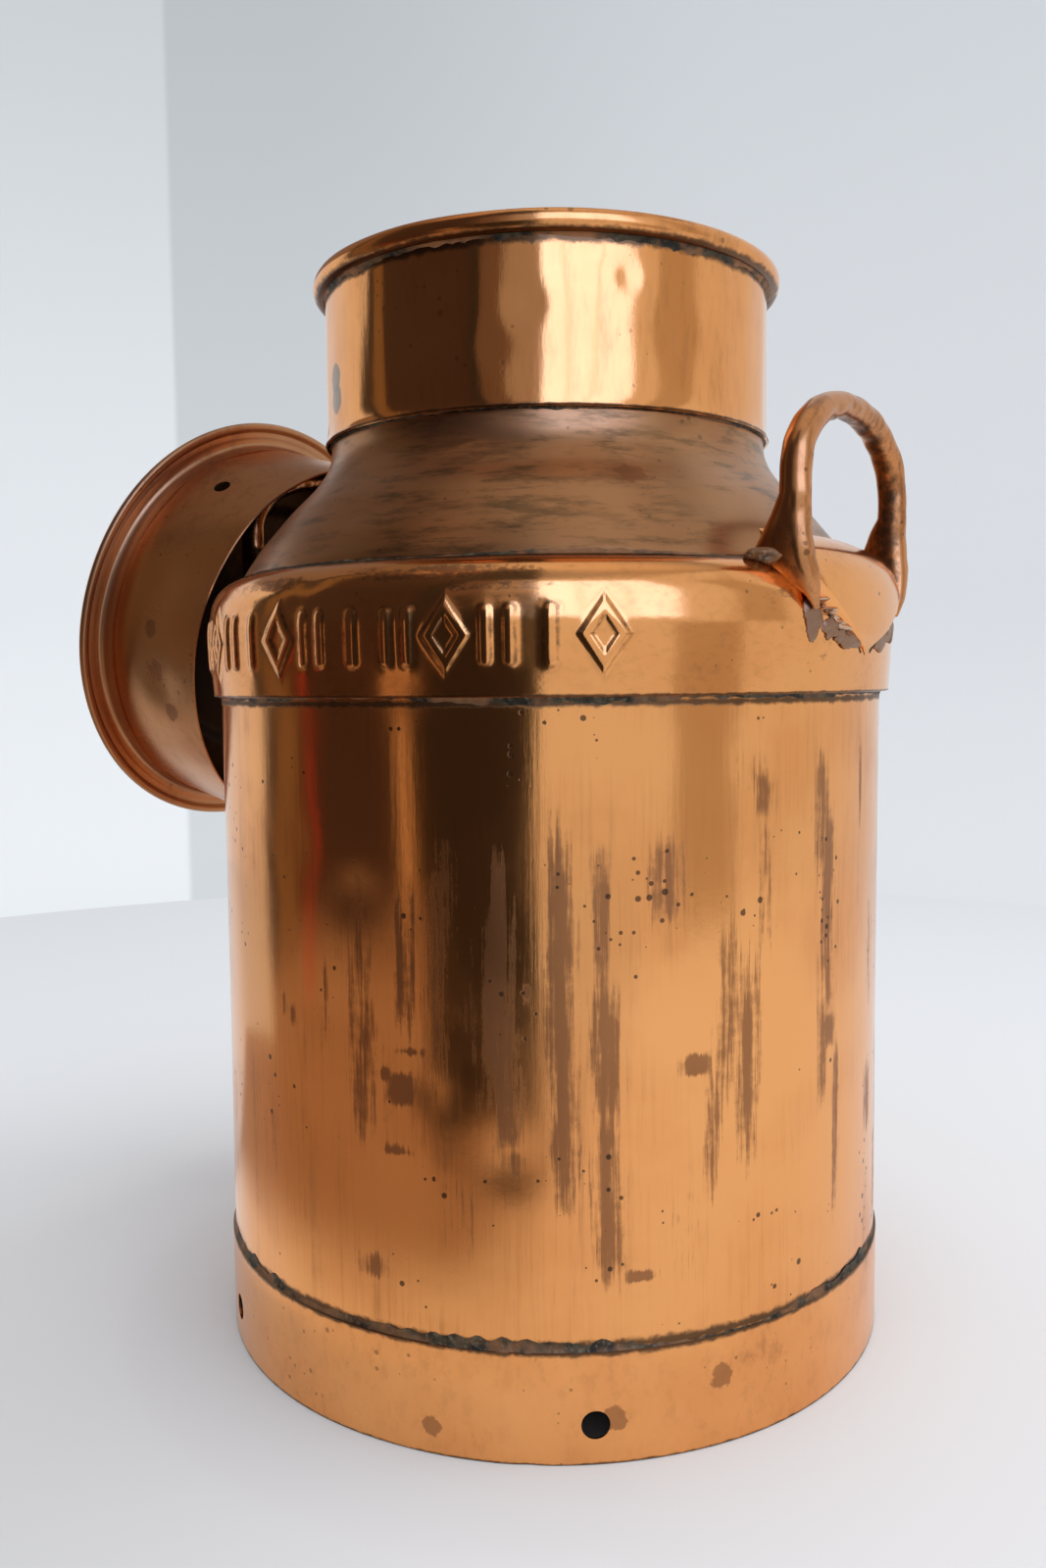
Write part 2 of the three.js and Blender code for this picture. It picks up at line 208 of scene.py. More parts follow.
full_turn = np.radians(np.linspace(0, 360, 97))
FLOOR_R = 1.75
SWEEP_R = 1.3
SWEEP_TALL = 0.45
floor_grid = turned(np.array([(0.0, 0.0), (1.0, 0.0), (FLOOR_R, 0.0)]), full_turn)
FROM_LENS = (0.288, 0.957, 0)  # away from the camera and to its right
floor_paint, floor_shader, floor_place = new_finish("floor_paint")
floor_shader.inputs["Roughness"].default_value = 0.8
# Painted shade: the floor is darker towards its near corner on the camera's left, away from the light.
shaded_near_corner = floor_place.along(FROM_LENS).step(-0.377, -0.13)
floor_colour = blend(shaded_near_corner, (0.63, 0.635, 0.65), (0.765, 0.775, 0.80))
floor_colour.drive(floor_shader, "Base Color")
floor = stage_piece("studio_floor", floor_grid, floor_paint, True)
floor.visible_shadow = floor.visible_diffuse = True
sweep_angle = np.radians(np.linspace(-90, 0, 17))
sweep_r = FLOOR_R + (FLOOR_R - SWEEP_R) * (np.cos(sweep_angle) - 1)
sweep = np.stack([sweep_r, SWEEP_TALL * (1 + np.sin(sweep_angle))], -1)
room_line = np.vstack([sweep, [(FLOOR_R, 1.5), (FLOOR_R, 3.5)]]) + (0, 0.001)
wall_paint, wall_shader, wall_place = new_finish("wall_paint")
ACROSS_ROOM = (0.6265, 0.7795, 0)
CORNER = -0.1594  # where the room's corner stands in that direction
# Painted light and shade on the wall: it grows paler towards the floor, and at a painted corner the left
# wall, lit more, meets a darker wall that grows paler again further off.
across_room = wall_place.along(ACROSS_ROOM)
corner = across_room.step(CORNER - 0.006, CORNER + 0.006)
wall_low = wall_place.along((0, 0, 1)).step(1.7, 0.3)
left_wall = blend(wall_low, (0.63, 0.655, 0.675), (0.90, 0.925, 0.95))
shaded_corner_side = blend(wall_low, (0.53, 0.555, 0.57), (0.70, 0.725, 0.745))
far_side = blend(wall_low, (0.635, 0.66, 0.685), (0.775, 0.79, 0.815))
wall_colour = blend(corner, left_wall, blend(across_room.step(0.0, 0.9), shaded_corner_side, far_side))
wall_shader.inputs["Roughness"].default_value = 0.9
wall_colour.drive(wall_shader, "Base Color")
room = stage_piece("studio_wall", turned(room_line, full_turn), wall_paint, True)
room.visible_glossy = False

# How light the floor looks in the copper, and how light its shaded part looks: painted shade, shown by the
# dim floor sheet and at the feet of some screens.
FLOOR_GLOW = (0.72, 0.70, 0.68)
SHADED_FLOOR_GLOW = (0.34, 0.245, 0.185)


def screen(name, distance, left, right, foot, top, colour, glow=1.0, fade=None):
    """An upright curved screen round the churn. Left and right are degrees from the camera's side. With
    a fade, it is as light as the painted shade of the dim floor below the lower height, and has its own
    colour above the other."""
    angles = np.radians(TOWARDS_CAMERA + np.linspace(left, right, 25))
    line = np.array([(distance, foot), (distance, top)])
    finish, shader, place = new_glow(name + "_light", glow)
    shader.inputs["Emission Color"].default_value = (*colour, 1)
    if fade:
        shade = blend(place.along((0, 0, 1)).step(*fade), SHADED_FLOOR_GLOW, colour)
        shade.drive(shader, "Emission Color")
    return stage_piece(name, turned(line, angles), finish, False)


screen("dark_edge", 0.64, -97, -91, 0.0, 2.3, (0.02, 0.012, 0.009), fade=(0.03, 0.12))
screen("brown_curtain", 0.65, -92, -80, 0.0, 2.3, (0.17, 0.115, 0.060), fade=(0.03, 0.14))
screen("dim_room", 0.66, -81, -28, 0.0, 2.3, (0.032, 0.016, 0.013), fade=(0.06, 0.16))
screen("room_above", 0.655, -93, -40, 1.35, 2.3, (0.48, 0.34, 0.26))
screen("left_gloom", 0.9, -165, -92, 0.80, 2.3, (0.20, 0.155, 0.125))
screen("dim_doorway", 0.50, -34, -3, 0.0, 1.9, (0.012, 0.009, 0.008), fade=(-0.02, 0.03))
screen("door_glass", 0.495, -17, -3, 0.46, 0.85, (0.33, 0.32, 0.34))
screen("door_edge", 0.497, -28, -16.5, 0.46, 0.85, (0.12, 0.085, 0.075))
screen("door_frame", 0.65, -42, -39, 0.0, 0.42, (0.60, 0.42, 0.28), fade=(0.03, 0.1))
screen("red_curtain", 0.63, -75.5, -73.8, 0.06, 0.38, (0.42, 0.05, 0.03))
WINDOW_LIGHT = (0.44, 0.58, 1.0)
for pane in range(3):
    screen(f"window_pane_{pane}", 1.6, -4 + 15 * pane, 10 + 15 * pane, 0.60, 2.25, WINDOW_LIGHT, 3.9)
screen("low_cupboard", 1.3, 37, 58, 0.0, 0.42, (0.47, 0.43, 0.38))
screen("tall_cupboard", 1.5, 58, 76, 0.45, 2.0, (0.50, 0.47, 0.43))

# A glowing sheet just above the floor, seen only in mirrors: the floor as the copper shows it, darkened on
# the camera's left as painted shade.
CAMERA_RIGHT = (0.817, 0.577, 0)
dim_floor, dim_shader, dim_place = new_glow("dim_floor_light")
dim_share = dim_place.distance(tuple(AXIS)).step(0.24, 0.37) * dim_place.along(CAMERA_RIGHT).step(0.03, -0.13)
dim_glow = blend(dim_share, FLOOR_GLOW, SHADED_FLOOR_GLOW)
dim_glow.drive(dim_shader, "Emission Color")
dim_angles = np.radians(TOWARDS_CAMERA + np.linspace(-118, 6, 40))
dim_line = np.array([(0.22, MM), (0.45, MM), (0.66, MM)])
stage_piece("dim_floor", turned(dim_line, dim_angles), dim_floor, False)

ceiling_grid = turned(np.array([(0.0, 2.31), (0.7, 2.31), (1.35, 2.31)]), full_turn)
ceiling, ceiling_shader, ceiling_place = new_glow("ceiling_shade")
ceiling_glow = blend(ceiling_place.near((0.36, 0.09, 2.31), 1.4), (0.24, 0.23, 0.22), (0.72, 0.69, 0.65))
ceiling_glow.drive(ceiling_shader, "Emission Color")
stage_piece("ceiling", ceiling_grid, ceiling, False)

world = bpy.data.worlds.new("studio_air")
bpy.context.scene.world = world
world.use_nodes = True
air = world.node_tree.nodes["Background"]
air.inputs["Color"].default_value = (0.95, 0.975, 1.0, 1)
air.inputs["Strength"].default_value = 0.79


def soft_light(name, place, aim, size, power):
    """A square area light of a given size in metres, turned from its place towards its aim. Mirrors
    don't show it."""
    lamp = bpy.data.lights.new(name, "AREA")
    lamp.size = size
    lamp.energy = power
    holder = bpy.data.objects.new(name, lamp)
    holder.location = place
    holder.rotation_euler = (Vector(aim) - Vector(place)).to_track_quat("-Z", "Y").to_euler()
    holder.visible_glossy = False
    bpy.context.scene.collection.objects.link(holder)


soft_light("ceiling_light", (0.7, 0.1, 2.2), (0.1, 0, 0), 1.5, 22)

lens = bpy.data.cameras.new("camera")
lens.lens = LENS
lens.sensor_width = 36
camera = bpy.data.objects.new("camera", lens)
camera.matrix_world = (
    Matrix.Translation(CAMERA_AT)
    @ Matrix.Rotation(math.radians(CAMERA_HEADING), 4, "Z")
    @ Matrix.Rotation(math.radians(CAMERA_TILT), 4, "X")
    @ Matrix.Rotation(math.radians(CAMERA_ROLL), 4, "Z")
)
bpy.context.scene.collection.objects.link(camera)
bpy.context.scene.camera = camera
bpy.context.scene.view_settings.view_transform = "Standard"

# ---- The body: one sheet of copper rolled to a tube, lapped inside the shoulder band at the top and
# inside the standing ring at the foot. It is polished by hand, dented, and stained in long upright runs.

BODY_SHEET = 1.5 * MM
TURN = np.radians(np.arange(0, 360, 1.0))


def smooth_line(points, count, rounds=3):
    """Count points spread evenly along the straight lines between the given ones, then moved, as many
    times as rounds says, to the mean of themselves and their neighbours. The ends stay."""
    points = np.asarray(points, float)
    lengths = np.append(0, np.cumsum(np.linalg.norm(np.diff(points, axis=0), axis=1)))
    even = np.linspace(0, lengths[-1], count)
    line = np.stack([np.interp(even, lengths, values) for values in points.T], -1)
    for _ in range(rounds):
        line[1:-1] = (line[:-2] + 2 * line[1:-1] + line[2:]) / 4
    return line


def sheet(line, thickness, back_step=1):
    """The closed outline of a sheet: the line, then the line moved to its left by the thickness and
    taken backwards, with a rounded point at either edge. Back step thins out the points of the back."""
    along = np.gradient(line, axis=0)
    along /= np.linalg.norm(along, axis=1)[:, None]
    left = np.stack([-along[:, 1], along[:, 0]], -1) * thickness
    end = line[-1] + left[-1] / 2 + along[-1] * abs(thickness) * 0.3
    start = line[0] + left[0] / 2 - along[0] * abs(thickness) * 0.3
    return np.vstack([line, end, (line + left)[::-back_step], start])


def unevenness(angles, heights, seed, most_round, wave, depth, count=26):
    """A smooth random field over a turned surface: a sum of cosines, each with a whole number of waves
    round the axis, up to most_round, a wavelength of at least wave along it, and a random phase."""
    dice = np.random.default_rng(seed)
    total = 0.0
    for _ in range(count):
        turns = dice.integers(1, most_round + 1)
        climb = dice.uniform(-1, 1) * 2 * math.pi / wave
        total = total + np.cos(turns * angles + climb * heights + dice.uniform(0, 2 * math.pi))
    return depth * total / math.sqrt(count)


def round_from(degrees, angles, radius):
    """How far each angle lies from the given degrees along a wall of that radius, the shorter way round."""
    return radius * ((angles - math.radians(degrees) + math.pi) % (2 * math.pi) - math.pi)


def dents(angles, heights, radius, places):
    """Soft hollows, each a bell curve of the distance from its middle. A place is degrees round the
    axis, height, width and depth, in millimetres but for the first."""
    total = 0.0
    for degrees, height, width, depth in places:
        across = round_from(degrees, angles, radius)
        reach = (across**2 + (heights - height * MM) ** 2) / (width * MM) ** 2
        total = total - depth * MM * np.exp(-reach)
    return total


EVEN = (1, 1, 1)
BRIGHT_COPPER = (0.92, 0.415, 0.145)
BROWN_COPPER = (0.30, 0.125, 0.052)
# Near-black for pits and dirt, and for painted shade where a piece's own values mark it.
DIRT_AND_SHADE = (0.04, 0.030, 0.021)
DULL_GREY = (0.20, 0.19, 0.165)


def place_on(radius, degrees, height):
    """The point at a radius and a height in millimetres, at degrees round the churn's axis."""
    angle = math.radians(degrees)
    return AXIS + np.array((radius * math.cos(angle), radius * math.sin(angle), height)) * MM


def copper(
    name,
    shine=BRIGHT_COPPER,
    stained=0.5,
    runs=(1, 1, 0.07),
    run_scale=55,
    gloss=(0.13, 0.34),
    seams=(),
    stains=(),
    grey_patches=(),
    speckled=0.5,
    brushed=0.16,
    stroke_colour=BROWN_COPPER,
):
    """Old copper. Brown stain lies in clouds, in runs that follow the stretch of their pattern, and where
    the piece's own "stain" values say. The piece's own grime values darken it too: they mark dirt in
    corners, and painted shade on faces in shadow, such as the inside of the body and the inner side of
    a handle's loop. Small dark specks gather here and there. Seams are heights with a reach, in
    millimetres, where grime gathers too. Stains and grey patches are points with a reach. Stained,
    speckled and brushed are shares from 0 to 1."""
    finish, shader, place = new_finish(name)
    laid_stain = place.node("ShaderNodeAttribute", {"attribute_name": "stain"}, output=2)
    laid_dirt_and_shade = place.node("ShaderNodeAttribute", {"attribute_name": "dirt_and_shade"}, output=2)
    cloud = place.clouds(13, 4)
    run = place.stretched(runs).clouds(run_scale, 5, 0.6)
    fine_run = place.stretched((runs[0], runs[1], runs[2] * 0.6)).clouds(run_scale * 8, 5, 0.7)
    small = place.clouds(170, 5, 0.65)
    streak = fine_run.step(0.40, 0.60)
    patchy = (run * 0.6 + cloud * 0.4).step(0.60 - 0.12 * stained, 0.74 - 0.12 * stained)
    loose = patchy * (0.25 + 0.75 * streak)
    ragged = (laid_stain + (fine_run - 0.5) * 2.0 + (run - 0.5) * 0.8 + (small - 0.5) * 0.6).step(0.28, 0.80)
    laid = ragged * laid_stain.step(0.03, 0.22)
    dark = (laid * 0.85).maths("MAXIMUM", laid * 0.85, loose * (0.25 + 0.4 * stained))
    for point, reach in stains:
        blot = (place.near(point, reach * MM) * 1.2 + (small - 0.5) * 2.2).step(0.5, 0.8) * 0.7
        dark = dark.maths("MAXIMUM", dark, blot)
    warm = tuple(np.array(shine) * (0.84, 0.70, 0.60))
    tone = blend(cloud.step(0.38, 0.66) * 0.45, shine, warm)
    colour = blend(fine_run.step(0.47, 0.66) * cloud.step(0.35, 0.6) * brushed, tone, stroke_colour)
    colour = blend(dark, colour, BROWN_COPPER)
    cells = {"Vector": place, "Scale": 260.0}
    dot = place.node("ShaderNodeTexVoronoi", inputs=cells)
    tint = place.node("ShaderNodeTexVoronoi", inputs=cells, output=1)
    chance = place.node("ShaderNodeSeparateColor", inputs={"Color": tint})
    size = chance * chance * chance * place.clouds(24, 2).step(0.44, 0.64) * 0.40
    speck = (size - dot - small * 0.14).step(-0.08, 0.0) * speckled * 0.9
    colour = blend(speck, colour, DIRT_AND_SHADE)
    # The piece's own values, made ragged: dirt in corners, and painted shade where they mark the inside of
    # the body and the inner side of a handle's loop. Dirt gathers at the seams too.
    dirt_and_shade = (laid_dirt_and_shade + (small - 0.5) * 1.2).step(0.35, 0.85)
    for height, reach in seams:
        gap = place.along((0, 0, 1 / (reach * MM))) - height / reach
        gap = gap.maths("ABSOLUTE", gap)
        ragged = (gap + (small - 0.5) * 1.7).step(1.0, 0.2)
        dirt_and_shade = dirt_and_shade.maths("MAXIMUM", dirt_and_shade, ragged)
    colour = blend(dirt_and_shade * 0.85, colour, DIRT_AND_SHADE)
    dark = dark.maths("MAXIMUM", dark, dirt_and_shade)
    for point, reach in grey_patches:
        patch = (place.near(point, reach * MM) + (small - 0.5) * 0.7).step(0.3, 0.6) * 0.85
        colour = blend(patch, colour, DULL_GREY)
        dark = dark.maths("MAXIMUM", dark, patch)
    colour.drive(shader, "Base Color")
    shader.inputs["Metallic"].default_value = 1.0
    roughness = gloss[0] + (gloss[1] - gloss[0]) * (dark * 0.8 + cloud.step(0.4, 0.7) * 0.25 + speck * 0.4)
    roughness.drive(shader, "Roughness")
    height = small * 0.3 + fine_run * 0.5 - dark * 0.3 - speck * 0.4
    bump = place.node("ShaderNodeBump", inputs={"Strength": 0.35, "Distance": 0.25 * MM, "Height": height})
    bump.drive(shader, "Normal")
    return finish


def laid_on(piece, name, values):
    """Gives each point of a piece a value between 0 and 1, for its finish to read."""
    values = np.ascontiguousarray(values, dtype=np.float32).ravel()
    piece.data.attributes.new(name, "FLOAT", "POINT").data.foreach_set("value", values)


def smears(angles, heights, radius, places):
    """Where stain lies: each smear is full near its middle and fades over its half width and its half
    height, as exp(-(across/width)^2 - (up/height)^4). Where some overlap, the strongest counts. A place
    is degrees, height, half width, half height and strength."""
    total = 0.0
    for degrees, height, half_width, half_height, strength in places:
        across = round_from(degrees, angles, radius)
        fade = (across / (half_width * MM)) ** 2 + ((heights - height * MM) / (half_height * MM)) ** 4
        total = np.maximum(total, strength * np.exp(-fade))
    return total


def fitted(piece, finish, body, slot, *nodes):
    """Gives a piece its finish, hangs it from the empty of the body that it rides on, and hides the frame's
    nodes that it stands for.
    """
    piece.data.materials.append(finish)
    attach(piece, body)
    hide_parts(*nodes)
    return piece


BODY_DENTS = [
    (-44, 290, 15, 0.5), (-21.6, 290, 14, 0.9), (-60.7, 125, 15, 0.9), (-34, 163, 12, 0.9),
    (-78, 127, 10, 0.5), (-72, 152, 9, 0.6), (-8, 210, 20, 0.6), (-96, 250, 14, 0.6),
    (-84, 232, 12, 0.5), (60, 200, 22, 1.1), (140, 120, 26, 1.3), (205, 230, 20, 0.9),
]
BODY_SMEARS = [
    (-62, 190, 9, 50, 1.0), (-62, 222, 5, 34, 0.85), (-61, 150, 8, 22, 0.9),
    (-70.5, 212, 7, 60, 0.62), (-53.6, 200, 6, 66, 1.0), (-53.2, 140, 6, 38, 0.9),
    (-47.6, 220, 5, 40, 0.75), (-47.2, 172, 7, 34, 1.0), (-47.0, 112, 6.5, 40, 1.0),
    (-38.5, 239, 9, 19, 0.75), (-29, 185, 6, 42, 0.66), (-25.5, 165, 8, 48, 0.7),
    (-31, 135, 5, 30, 0.6), (-22.5, 272, 5.5, 10, 0.75), (-22, 235, 4, 34, 0.5),
    (-10, 262, 6, 30, 0.85), (-8, 215, 6, 50, 0.9), (-9, 160, 5, 30, 0.8), (-5, 120, 3, 40, 0.85),
    (3, 278, 3, 26, 0.7), (-84, 205, 9, 42, 0.6), (-83, 160, 9, 34, 0.72), (-76, 205, 7, 34, 0.5),
    (-90, 182, 3, 22, 0.5), (-104, 120, 8, 30, 0.4), (-68, 100, 7, 20, 0.45),
    (-36, 92, 7, 30, 0.42),
]
BODY_BLOTS = [
    (-76.6, 153, 7, 7, 1.25), (-79.5, 159, 3, 3, 1.2), (-60.5, 125, 7, 7, 0.75),
    (-34, 163, 7, 4.5, 1.25), (-42.2, 77.7, 7, 2.4, 1.15), (-82.1, 76, 8, 6, 0.8),
    (-77.8, 127, 7, 1.8, 1.1), (-75.3, 169, 7, 2, 0.9), (-97.5, 176, 2, 6, 1.0),
    (-99.5, 180, 1.5, 6, 0.9), (-58, 196, 3, 4, 0.9), (-7.5, 166, 5, 9, 1.1),
    (-24, 280, 12, 12, 0.35),
]
dice = np.random.default_rng(5)
for _ in range(44):
    BODY_SMEARS.append(
        (
            dice.uniform(5, 235),
            dice.uniform(70, 290),
            dice.uniform(2, 9),
            dice.uniform(12, 45),
            dice.uniform(0.35, 0.85),
        )
    )
BODY_TURN = np.radians(np.arange(0, 360, 0.6))
outside = smooth_line([(BODY_R, body_low[2]), (BODY_R, body_high[2])], 130, 0)
body_line = sheet(outside, BODY_SHEET, 6)
heights = body_line[:, 1, None]
hollows = unevenness(BODY_TURN, heights, 3, 9, 0.16, 0.24 * MM)
hollows = hollows + unevenness(BODY_TURN, heights, 4, 24, 0.30, 0.07 * MM)
hollows = hollows + dents(BODY_TURN, heights, BODY_R, BODY_DENTS)
body_finish = copper(
    "body_copper",
    stained=0.55,
    gloss=(0.13, 0.5),
    seams=[(49.5, 3.2), (310.5, 2.2)],
    speckled=0.9,
)
body = surface("churn_body", turned(body_line, BODY_TURN, hollows), True, True)
laid_on(body, "stain", smears(BODY_TURN, heights, BODY_R, BODY_SMEARS + BODY_BLOTS) + 0 * hollows)
# Painted shade: the body's inner face is darkened through its grime values, as the inside of the churn lies
# in shadow.
inside = (body_line[:, 0, None] < BODY_R - 0.5 * BODY_SHEET) * 0.75
laid_on(body, "dirt_and_shade", inside + 0 * hollows)
fitted(body, body_finish, "churn", "copper_body", "body_shell")

# ---- The standing ring: a hoop of copper soldered round the foot, which carries the weight and keeps
# the bottom off the ground. Five round holes near its lower edge let water drain out.

RING_SHEET = 1.1 * MM
DRAIN_HOLES = 5
DRAIN_HOLE_R = 6 * MM
DRAIN_HOLE_Z = 17 * MM
DRAIN_HOLE_START = -49
ring_low, ring_high = (np.array(corner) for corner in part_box("foot_ring"))
RING_R = (ring_high[0] - ring_low[0]) / 2


def pierced(piece, rods):
    """Cuts round holes in a piece. A rod is its middle, its direction, its radius and its length."""
    for k, (middle, direction, radius, length) in enumerate(rods):
        angles = np.radians(np.arange(0, 360, 10.0))
        line = np.array([(0, -length / 2), (radius, -length / 2), (radius, length / 2), (0, length / 2)])
        rod = surface(f"drill_{k}", turned(line, angles, axis=np.zeros(3)), False, True, welded=True)
        aim = Vector(direction).to_track_quat("Z", "Y").to_matrix().to_4x4()
        rod.matrix_world = Matrix.Translation(middle) @ aim
        cut = piece.modifiers.new("hole", "BOOLEAN")
        cut.operation = "DIFFERENCE"
        cut.object = rod
        cut.solver = "EXACT"
        bpy.context.view_layer.update()
        shape = piece.evaluated_get(bpy.context.evaluated_depsgraph_get())
        drilled = bpy.data.meshes.new_from_object(shape)
        piece.modifiers.clear()
        piece.data = drilled
        bpy.data.objects.remove(rod)
    piece.data.set_sharp_from_angle(angle=math.radians(40))


ring_line = smooth_line([(RING_R, 0.35 * MM), (RING_R, ring_high[2])], 26, 0)
ring_line = sheet(ring_line, RING_SHEET)
ring_push = unevenness(TURN, ring_line[:, 1, None], 11, 10, 0.2, 0.12 * MM)
ring_push = ring_push + dents(TURN, ring_line[:, 1, None], RING_R, [(-58.4, 0, 4, 0.5), (-100, 25, 12, 0.5)])
ring = surface("standing_ring", turned(ring_line, TURN, ring_push), True, True)
holes = []
for k in range(DRAIN_HOLES):
    degrees = DRAIN_HOLE_START + k * 360 / DRAIN_HOLES
    middle = place_on(BODY_R / MM, degrees, DRAIN_HOLE_Z / MM)
    holes.append((middle, middle - AXIS - (0, 0, middle[2]), DRAIN_HOLE_R, 24 * MM))
pierced(ring, holes)
ring_finish = copper(
    "ring_copper",
    stained=0.25,
    runs=EVEN,
    run_scale=25,
    gloss=(0.2, 0.4),
    seams=[(47.5, 2.2), (0, 1.4)],
    stains=[(place_on(166.5, -46.4, 19), 10), (place_on(166.5, -72.6, 12), 7), (place_on(166.5, -30, 30), 9)],
    speckled=0.5,
)
fitted(ring, ring_finish, "churn", "copper_body", "foot_ring")


def solder_finish(name, pale=0.3, coppery=0.6):
    """Old solder: dark olive with black pits, paler where it is rubbed, and brown where copper shows
    through it."""
    finish, shader, place = new_finish(name)
    lumps = place.clouds(120, 4, 0.6)
    pits = place.clouds(480, 4, 0.65)
    colour = blend(lumps.step(0.38, 0.62), (0.022, 0.019, 0.013), (0.085, 0.066, 0.038))
    colour = blend(pits.step(0.5, 0.66) * pale, colour, (0.36, 0.28, 0.18))
    colour = blend(place.clouds(45, 3).step(0.46, 0.62) * coppery, colour, (0.36, 0.16, 0.066))
    colour.drive(shader, "Base Color")
    shader.inputs["Metallic"].default_value = 0.6
    (0.42 + 0.3 * pits).drive(shader, "Roughness")
    relief = {"Strength": 0.7, "Distance": 0.5 * MM, "Height": lumps + pits * 0.5}
    place.node("ShaderNodeBump", inputs=relief).drive(shader, "Normal")
    return finish


solder = solder_finish("old_solder")


def ragged_fillet(name, wall_r, foot_z, tall, wide, seed, rise=1, lean=0.0):
    """A bead of solder in the corner between a wall and an edge. Its section is a hollow quarter round
    of the given height and width, which swell and shrink along it at random. It rises from its foot, or
    hangs from it where rise is -1, and leans out by a share of its height."""
    fine = np.radians(np.arange(0, 360, 0.75))
    swell = unevenness(fine, 0.0, seed, 110, 1.0, 0.26, 40)
    swell = swell + unevenness(fine, 0.0, seed + 1, 9, 1.0, 0.34, 12)
    swell = np.clip(1 + swell, 0.3, 2.2)
    turn = np.linspace(0, math.pi / 2, 6)[:, None]
    out = wide * (1 - np.sin(turn)) * np.sqrt(swell)
    up = tall * (1 - np.cos(turn)) * swell
    radius = np.vstack([wall_r - 0.4 * MM + 0 * fine[None, :], wall_r + out + lean * up])
    height = np.vstack([foot_z + 0 * fine[None, :], foot_z + rise * up])
    lumps = unevenness(fine, height * 3, seed + 2, 160, 0.02, 0.05 * wide, 40)
    grid = np.stack([(radius + lumps) * np.cos(fine), (radius + lumps) * np.sin(fine), height], -1) + AXIS
    return surface(name, grid, True, True)


ring_bead = ragged_fillet("standing_ring_solder", BODY_R, ring_high[2] + 0.1 * MM, 3.8 * MM, 1.2 * MM, 21)
fitted(ring_bead, solder, "churn", "solder", "foot_ring_solder")

# ---- The shoulder band: a wide hoop with its top edge rolled over to the foot of the cone. It laps
# over the body's top edge, and a row of raised bars and lozenges is struck into its front.

BAND_SHEET = 1.5 * MM
BAND_LINE = [
    (169, 313.4), (170.1, 330), (170.5, 343), (168.9, 356), (165.2, 362.8), (161, 366.4),
    (155.5, 368.9),
]
MARKS = "l|o|lo|l|o|lo"  # l is one bar, | a pair of bars and o a lozenge
MARK_FIRST = -131.5
MARK_LAST = -47.5
MARK_Z = 337.2 * MM
MARK_HALF_HEIGHT = 9.6 * MM
MARK_RELIEF = 1.0 * MM
BAND_FRONT_R = 170.5 * MM
BAND_MEAN_R = 170 * MM
PAIR_HALF_GAP = 4.8 * MM


def bar(across, up, half_height, half_width):
    """A raised upright bar: full height near its middle line, falling smoothly to nothing beside it."""
    distance = np.hypot(across, np.maximum(np.abs(up) - half_height, 0))
    return 1 / (1 + (distance / half_width) ** 4)


def lozenge(across, up, half_height, half_width):
    """A raised lozenge outline: the places where |x| over its half width plus |y| over its half height
    is near one."""
    rim = np.abs(np.abs(across) / half_width + np.abs(up) / half_height - 1) * half_width * 0.8
    return 1 / (1 + (rim / (2.1 * MM)) ** 4)


def struck_marks(angles, heights):
    """The relief of the whole row, as a height above the band."""
    total = 0.0
    for mark, degrees in zip(MARKS, np.linspace(MARK_FIRST, MARK_LAST, len(MARKS))):
        across = round_from(degrees, angles, BAND_FRONT_R)
        up = heights - MARK_Z
        if mark == "l":
            shape = bar(across, up, MARK_HALF_HEIGHT, 2.7 * MM)
        elif mark == "|":
            shape = np.maximum(
                bar(across - PAIR_HALF_GAP, up, MARK_HALF_HEIGHT, 2.3 * MM),
                bar(across + PAIR_HALF_GAP, up, MARK_HALF_HEIGHT, 2.3 * MM),
            )
        else:
            shape = lozenge(across, up, MARK_HALF_HEIGHT + 1.4 * MM, 7.4 * MM)
        total = total + shape
    return MARK_RELIEF * np.clip(total, 0, 1)


BAND_DENTS = [(-75, 318, 14, 0.6), (-92, 360, 10, 0.7)]
marked = np.radians(np.arange(-138, -42, 0.25))
unmarked = np.radians(np.arange(-42, 222, 1.2))
band_turn = np.concatenate([marked, unmarked])
band_outside = smooth_line(np.array(BAND_LINE) * MM, 92, 14)
band_line = sheet(band_outside, BAND_SHEET, back_step=2)
band_heights = band_line[:, 1, None]
band_push = unevenness(band_turn, band_heights, 31, 12, 0.09, 0.22 * MM)
band_push = band_push + dents(band_turn, band_heights, BAND_MEAN_R, BAND_DENTS)
on_face = (band_heights < 356 * MM) & (band_line[:, 0, None] > 160 * MM)
relief = np.where(on_face, struck_marks(band_turn, band_heights), 0)
band_push = band_push + relief
band = surface("shoulder_band_sheet", turned(band_line, band_turn, band_push), True, True)
raised = np.clip(relief / MARK_RELIEF, 0, 1)
beside_marks = raised * (1 - raised) * 4
laid_on(band, "dirt_and_shade", 0.62 * beside_marks)
BAND_SMEARS = [
    (-70, 362, 40, 3.5, 0.75), (-98, 361, 25, 3, 0.7), (-62, 356, 28, 2, 0.6),
    (-20, 352, 10, 5, 0.35), (-12, 330, 6, 6, 0.35),
]
laid_on(band, "stain", smears(band_turn, band_heights, BAND_MEAN_R, BAND_SMEARS) + 0 * band_push)
band_finish = copper(
    "band_copper",
    stained=0.42,
    runs=(1, 1, 3),
    run_scale=22,
    gloss=(0.12, 0.3),
    seams=[(313.4, 0.9), (368.8, 1.3)],
    speckled=0.5,
)
fitted(band, band_finish, "churn", "copper_band", "shoulder_band")
band_bead = ragged_fillet("band_solder_bead", BODY_R, 313.3 * MM, 2.4 * MM, 1.5 * MM, 41, rise=-1)
